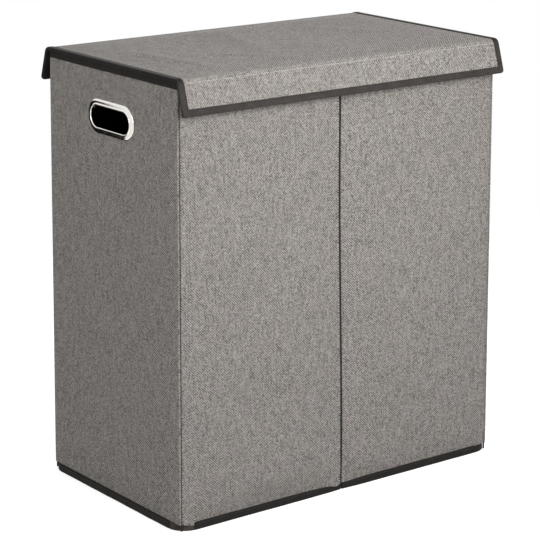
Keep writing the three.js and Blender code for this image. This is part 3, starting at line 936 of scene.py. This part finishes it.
for side, sign in (("left", -1), ("right", 1)):
    points = [
        (
            sign * (SIDE_FACE + RING_LIFT + high),
            shift + (RING_RADIUS + out) * math.cos(turn),
            HANDLE_MIDDLE.z + (RING_RADIUS + out) * math.sin(turn),
        )
        for shift, turn in ring_stations for out, high in ring_section
    ]
    ring_faces = tube_faces(len(ring_stations), len(ring_section), closed=True)
    ring = mesh_object(f"{side}_handle_eyelet", points, ring_faces)
    ring.data.materials.append(chrome)
    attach(ring, "box")
    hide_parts(f"{side}_handle_ring")
    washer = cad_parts[f"{side}_handle_washer"]
    washer.data.materials.clear()
    washer.data.materials.append(steel)

# Floor boards: one loose board in each bin, in a black cloth cover that is turned down its edges.
# It lies on the bottom cloth, holds the walls square, and lifts straight out.
FLOOR_ROLL, FLOOR_WAVE, FLOOR_WAVE_SIZES = 0.0013, 0.00025, (0.05, 0.12)
FLOOR_EDGE, FLOOR_TURN = 0.0006, 0.0014
for side in ("left", "right"):
    low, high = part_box(f"{side}_floor_cover")
    (east, east_out, east_lengths), (north, north_out, north_lengths) = (
        rounded_line([(a, low.z), (a, high.z), (b, high.z), (b, low.z)], [FLOOR_ROLL, FLOOR_ROLL], 0.006)
        for a, b in zip(low[:2], high[:2])
    )
    waves = soft_waves(east_lengths[:, None], north_lengths, 55 + len(side), FLOOR_WAVE_SIZES)
    sheets = []
    for inset in (0, LINING):
        x, y = east - east_out * inset, north - north_out * inset
        level = np.minimum(x[:, 1:], y[:, 1])
        on_top = ramp(level - high.z + FLOOR_EDGE, FLOOR_EDGE)
        sheets.append(spread(x[:, :1], y[:, 0], level + FLOOR_WAVE * (1 + waves) * on_top))
    down_x, down_y = (np.minimum(line[:-1, 1], line[1:, 1]) < high.z - FLOOR_TURN for line in (east, north))
    floor_cloth = shell(
        f"{side}_floor_cloth", *sheets, flat_places(east_lengths[:, None], north_lengths, 56 + len(side)),
        missing=down_x[:, None] & down_y,
    )
    floor_cloth.data.materials.append(black_lining)
    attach(floor_cloth, f"{side}_floor")
    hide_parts(f"{side}_floor_cover")

# Lid and front flap: one cloth runs over the lid's board and folds softly down over the flap's,
# with black lining below. The tape binds the lid's two ends and goes on all round the flap.
FOLD_Y, FOLD_Z = 0.159897, 0.6214
FLAP_LEAN = math.radians(17.4376)
FOLD_TURN = math.pi / 2 - FLAP_LEAN
LID_THICK, FLAP_THICK = 0.0037, 0.0039
FOLD_ROLL, UNDER_ROLL, FOLD_HALF = 0.009, 0.003, 0.0066
FLAP_REACH, BOUND_IN, NEAR_FOLD = 0.04905, 0.0009, 0.009
BACK_SEAM = 0.012
LID_SEAM = BACK_SEAM - 2 * FOLD_Y
LID_SWELL, LID_SWELL_SIZES = 0.0021, (0.09, 0.22)
LID_RIDGES = (  # across, start, stop, slant, height and width
    (-0.196, -0.220, -0.030, 0.13, 0.0034, 0.012), (-0.062, -0.125, -0.035, 0.87, 0.0030, 0.012),
    (-0.065, -0.290, -0.090, -0.25, 0.0022, 0.020), (0.050, -0.150, -0.070, 0.60, 0.0018, 0.018),
    (0.170, -0.240, -0.130, 0.50, 0.0016, 0.020),
)
FLAP_SWELL, FLAP_SWELL_SIZES = 0.0003, (0.08, 0.2)
TAPE_EDGE, EDGE_ROLL, TAPE_FOOT_ROLL = 0.0003, 0.0013, 0.0002
PUFF, EDGE_WAVER, ROW_IN, ROW_DIP, ROW_DIP_WIDTH = 0.00025, 0.0002, 0.0015, 0.0005, 0.0008
UNDERSIDE_IN, UNDERSIDE_HALF = 0.00025, 0.00003
FOLD_STITCH, LAP_STITCH = (0.0046, 0.0004), (0.0026, 0.00035)
LID_HALF = -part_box("lid_left_binding")[0].x
UNDER_BACK = (FLAP_THICK - LID_THICK * math.sin(FLAP_LEAN)) / math.cos(FLAP_LEAN)
UNDER_DOWN = LID_THICK * math.cos(FLAP_LEAN) - UNDER_BACK * math.sin(FLAP_LEAN)
lid_across = np.linspace(-1, 1, 100)[:, None] * (LID_HALF - BOUND_IN)


def bend(along, corner, roll):
    """Points and normals of a level line that turns down at a corner, rounded by a roll's radius.
    Along is the distance past the corner, and the points are distances out from the middle and up."""
    reach = roll * math.tan(FOLD_TURN / 2)
    turn = ramp(along + reach, 2 * reach) * FOLD_TURN
    before, after = np.minimum(along + reach, 0), np.maximum(along - reach, 0)
    normal = spread(np.sin(turn), np.cos(turn))
    points = np.array(corner) - (reach, roll) + normal * roll
    ahead = np.array([math.cos(FOLD_TURN), -math.sin(FOLD_TURN)])
    return points + before[..., None] * (1, 0) + after[..., None] * ahead, normal


def sandwich(x, along, through, lift, end):
    """Points of the lid or a flap. Through is 0 on the cloth's face and 1 on the lining's, lift is
    a height off that face, and end is -1 at the front and 1 at the back."""
    x, along, through, lift = np.broadcast_arrays(x, along, through, lift)
    share = ramp(along + FOLD_HALF, 2 * FOLD_HALF)
    outer, out = bend(along, (FOLD_Y, FOLD_Z), FOLD_ROLL)
    under_along = along + UNDER_BACK * (1 - share) - UNDER_DOWN * share
    inner, under = bend(under_along, (FOLD_Y - UNDER_BACK, FOLD_Z - LID_THICK), UNDER_ROLL)
    through = through[..., None]
    normal = out * (1 - through) + under * through
    points = outer * (1 - through) + inner * through + normal * lift[..., None]
    return spread(x, end * points[..., 0], points[..., 1])


def flap_sheet(name, along, face, end, seed, lifts=0.0):
    """A cloth over the lid or a flap, or the lining under it."""
    sheets = [
        sandwich(lid_across, along, through, lift, end)
        for through, lift in (((0, lifts), (0, lifts - COVER)) if face else ((1, 0), (1, LINING)))
    ]
    sheet = shell(name, *sheets, flat_places(lid_across, along, seed))
    sheet.data.materials.append(linen if face else black_lining)
    return sheet


front_stations = np.concatenate([
    np.linspace(LID_SEAM, -NEAR_FOLD, 70), np.linspace(-NEAR_FOLD, NEAR_FOLD, 25)[1:],
    np.linspace(NEAR_FOLD, FLAP_REACH - BOUND_IN, 12)[1:],
])
clear_of_tape = ramp(LID_HALF - 0.014 - np.abs(lid_across), 0.03)
on_lid = between(front_stations, LID_SEAM, -0.012, 0.03, 0.03)
on_flap = between(front_stations, 0.008, FLAP_REACH - 0.014, 0.01, 0.012)
lid_swell = LID_SWELL * (1 + soft_waves(lid_across, front_stations, 61, LID_SWELL_SIZES, 6))
for across, start, stop, slant, height, width in LID_RIDGES:
    crest = across + slant * (front_stations - stop)
    run_out = between(front_stations, start, stop, 0.05, 0.02)
    lid_swell = lid_swell + height * run_out * bell(lid_across - crest, width)
flap_swell = FLAP_SWELL * (1 + soft_waves(lid_across, front_stations, 62, FLAP_SWELL_SIZES, 5))
lid_lifts = clear_of_tape * (on_lid * lid_swell + on_flap * flap_swell)
lid_cloth = flap_sheet("lid_and_front_flap_cloth", front_stations, True, -1, 63, lid_lifts)
lid_under = flap_sheet("lid_and_front_flap_lining", front_stations, False, -1, 64)
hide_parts("lid_cover", "front_flap_cover")
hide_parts("lid_lining", "front_flap_lining")

tape_section, _, tape_widths = rounded_line(
    [
        (-TAPE_WIDTH, 0.0001), (-TAPE_WIDTH + 0.0002, TAPE), (TAPE_EDGE, TAPE),
        (TAPE_EDGE, -LID_THICK - TAPE), (-TAPE_WIDTH + 0.0002, -LID_THICK - TAPE),
        (-TAPE_WIDTH, -LID_THICK - 0.0001),
    ],
    [TAPE_FOOT_ROLL, EDGE_ROLL, EDGE_ROLL, TAPE_FOOT_ROLL], 0.0007, 0.0005,
)


def bound_edge(name, line, inside, end, seed, material=black_tape):
    """Tape folded over the edge that this flat line follows. Inside gives, for each point of the
    line, the point of the tape's inner border."""
    edge, outward, lengths = line
    s, t = tape_section.T
    waver = EDGE_WAVER * soft_waves(lengths, 0 * lengths, seed, (0.02, 0.07))[:, None]
    pillow = PUFF * np.sin(ramp(-s, TAPE_WIDTH) * math.pi)
    pillow = pillow - ROW_DIP * bell(-s - TAPE_WIDTH + ROW_IN, ROW_DIP_WIDTH)
    through = ramp(-t, LID_THICK)
    off = t + through * LID_THICK
    sheets = []
    for across, lift in (
        (s, off + np.where(t > 0, pillow, 0) - np.where(t < -LID_THICK, pillow, 0)),
        (np.minimum(s, -UNDERSIDE_IN), np.clip(off, -UNDERSIDE_HALF, UNDERSIDE_HALF)),
    ):
        away = np.maximum(across, 0) + waver * (across < -0.0004 - TAPE_WIDTH / 2)
        flat = edge[:, None] + outward[:, None] * away[..., None]
        flat = flat + (inside - edge)[:, None] * ramp(-across, TAPE_WIDTH)[:, None]
        sheets.append(sandwich(flat[..., 0], flat[..., 1], through, lift, end))
    return tape_piece(name, *sheets, tape_widths, lengths[:, None], seed, material=material)


def round_line(half, reach, starts, radii, pieces, foot_pieces, arcs):
    """A flat line down one end of the lid or a flap, along the flap's foot, and up the other end."""
    left, right = [(-half, a) for a in starts], [(half, a) for a in reversed(starts)]
    straight = [0] * (len(starts) - 1)
    return rounded_line(
        [*left, (-half, reach), (half, reach), *right], [*straight, *radii, *straight], 1,
        counts=([*pieces, foot_pieces, *reversed(pieces)], arcs),
    )


def bound_line(starts, radii, pieces):
    """The line of a bound edge, and the tape's inner border along it."""
    line = round_line(LID_HALF, FLAP_REACH, starts, radii, pieces, 130, 9)
    inside = line[0].copy()
    inside[:, 0] = np.clip(inside[:, 0], -LID_HALF + TAPE_WIDTH, LID_HALF - TAPE_WIDTH)
    inside[:, 1] = np.minimum(inside[:, 1], FLAP_REACH - TAPE_WIDTH)
    return line, inside


def face_row(across, along, lift, end=-1):
    """A row of stitches on the face of the lid or a flap: its points and its normals."""
    low, high = (sandwich(across, along, 0, height, end) for height in (lift, 0.003))
    return low, high - low


def bound_row(starts, pieces, end):
    """The row of stitches that holds a bound edge."""
    half, reach = LID_HALF - TAPE_WIDTH + ROW_IN, FLAP_REACH - TAPE_WIDTH + ROW_IN
    flat = round_line(half, reach, starts, (ROW_IN, ROW_IN), pieces, 60, 4)[0]
    return face_row(*flat.T, TAPE - HAIR, end)


front_starts = [LID_SEAM, -NEAR_FOLD, NEAR_FOLD]
# A copy of the black tape with paler shades for the front flap's face: painted light.
painted_light_tape = binding_tape("handled binding tape", *TAPE_SHADES, (paint(30, 28, 27), paint(78, 73, 69)))
front_line, front_inside = bound_line(front_starts, (0.002, 0.0048), (60, 22, 10))
front_tape = bound_edge("lid_and_front_flap_tape", front_line, front_inside, -1, 65, painted_light_tape)
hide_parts("lid_left_binding", "lid_right_binding", "front_flap_binding")
# 1 on the tape in front of the fold, down the flap, where the paler painted-light shades apply.
painted_light = front_tape.data.attributes.new("painted_light", "FLOAT", "POINT")
painted_light.data.foreach_set(
    "value", [min(max((-point.co.y - FOLD_Y + 0.001) / 0.004, 0), 1) for point in front_tape.data.vertices]
)
front_row = bound_row(front_starts, (40, 18, 8), -1)
front_stitches = thread("lid_and_front_flap_stitches", [front_row], TAPE_STITCH, black_thread)
pale_thread = spun_thread("pale grey thread", paint(150, 146, 141), paint(226, 222, 216))
fold_row = face_row(np.linspace(-LID_HALF + 0.011, LID_HALF - 0.011, 120), 0.0058, 2 * HAIR)
fold_stitches = thread("front_fold_stitches", [fold_row], FOLD_STITCH, pale_thread)
lap_row = face_row(-LID_HALF + 0.0074, np.linspace(FLAP_REACH - 0.0135, FLAP_REACH - 0.0007, 6), TAPE + HAIR)
lap_stitches = thread("front_flap_lap_stitches", [lap_row], LAP_STITCH, black_thread)
for piece in (lid_cloth, lid_under, front_tape, front_stitches, fold_stitches, lap_stitches):
    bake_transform(piece)

# Back fold: the lid's cloth, lining and tape go on over the back edge, where the lid is sewn down
# to the rim.
back_fold_stations = np.linspace(-BACK_SEAM, 0, 18)
back_fold_cloth = flap_sheet("back_fold_cloth", back_fold_stations, True, 1, 71)
back_fold_lining = flap_sheet("back_fold_lining", back_fold_stations, False, 1, 72)
back_fold_tapes = []
for side, sign, reach in (("left", -1, (-BACK_SEAM, 0)), ("right", 1, (0, -BACK_SEAM))):
    end_line = rounded_line([(sign * LID_HALF, along) for along in reach], [], 0.0007)
    end_inside = end_line[0] - (sign * TAPE_WIDTH, 0)
    back_fold_tapes.append(bound_edge(f"back_fold_{side}_tape", end_line, end_inside, 1, 73 + sign))
for piece in (*back_fold_tapes, back_fold_cloth, back_fold_lining):
    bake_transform(piece)

# Back flap: the same as the front one, hung from the back fold, behind the back wall.
# Its cloth, lining and tape begin at the fold, apart from the lid's.
back_stations = np.concatenate([
    np.linspace(0, NEAR_FOLD, 13), np.linspace(NEAR_FOLD, FLAP_REACH - BOUND_IN, 14)[1:],
])
back_flap_cloth = flap_sheet("back_flap_cloth", back_stations, True, 1, 81)
back_flap_under = flap_sheet("back_flap_under_cloth", back_stations, False, 1, 82)
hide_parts("back_flap_cover")
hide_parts("back_flap_lining")
back_line, back_inside = bound_line([0, NEAR_FOLD], (0.0045, 0.0045), (11, 10))
back_tape = bound_edge("back_flap_tape", back_line, back_inside, 1, 83)
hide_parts("back_flap_binding")
back_row = bound_row([0, NEAR_FOLD], (9, 8), 1)
back_stitches = thread("back_flap_stitches", [back_row], TAPE_STITCH, black_thread)
for piece in (back_flap_cloth, back_flap_under, back_tape, back_stitches):
    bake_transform(piece)
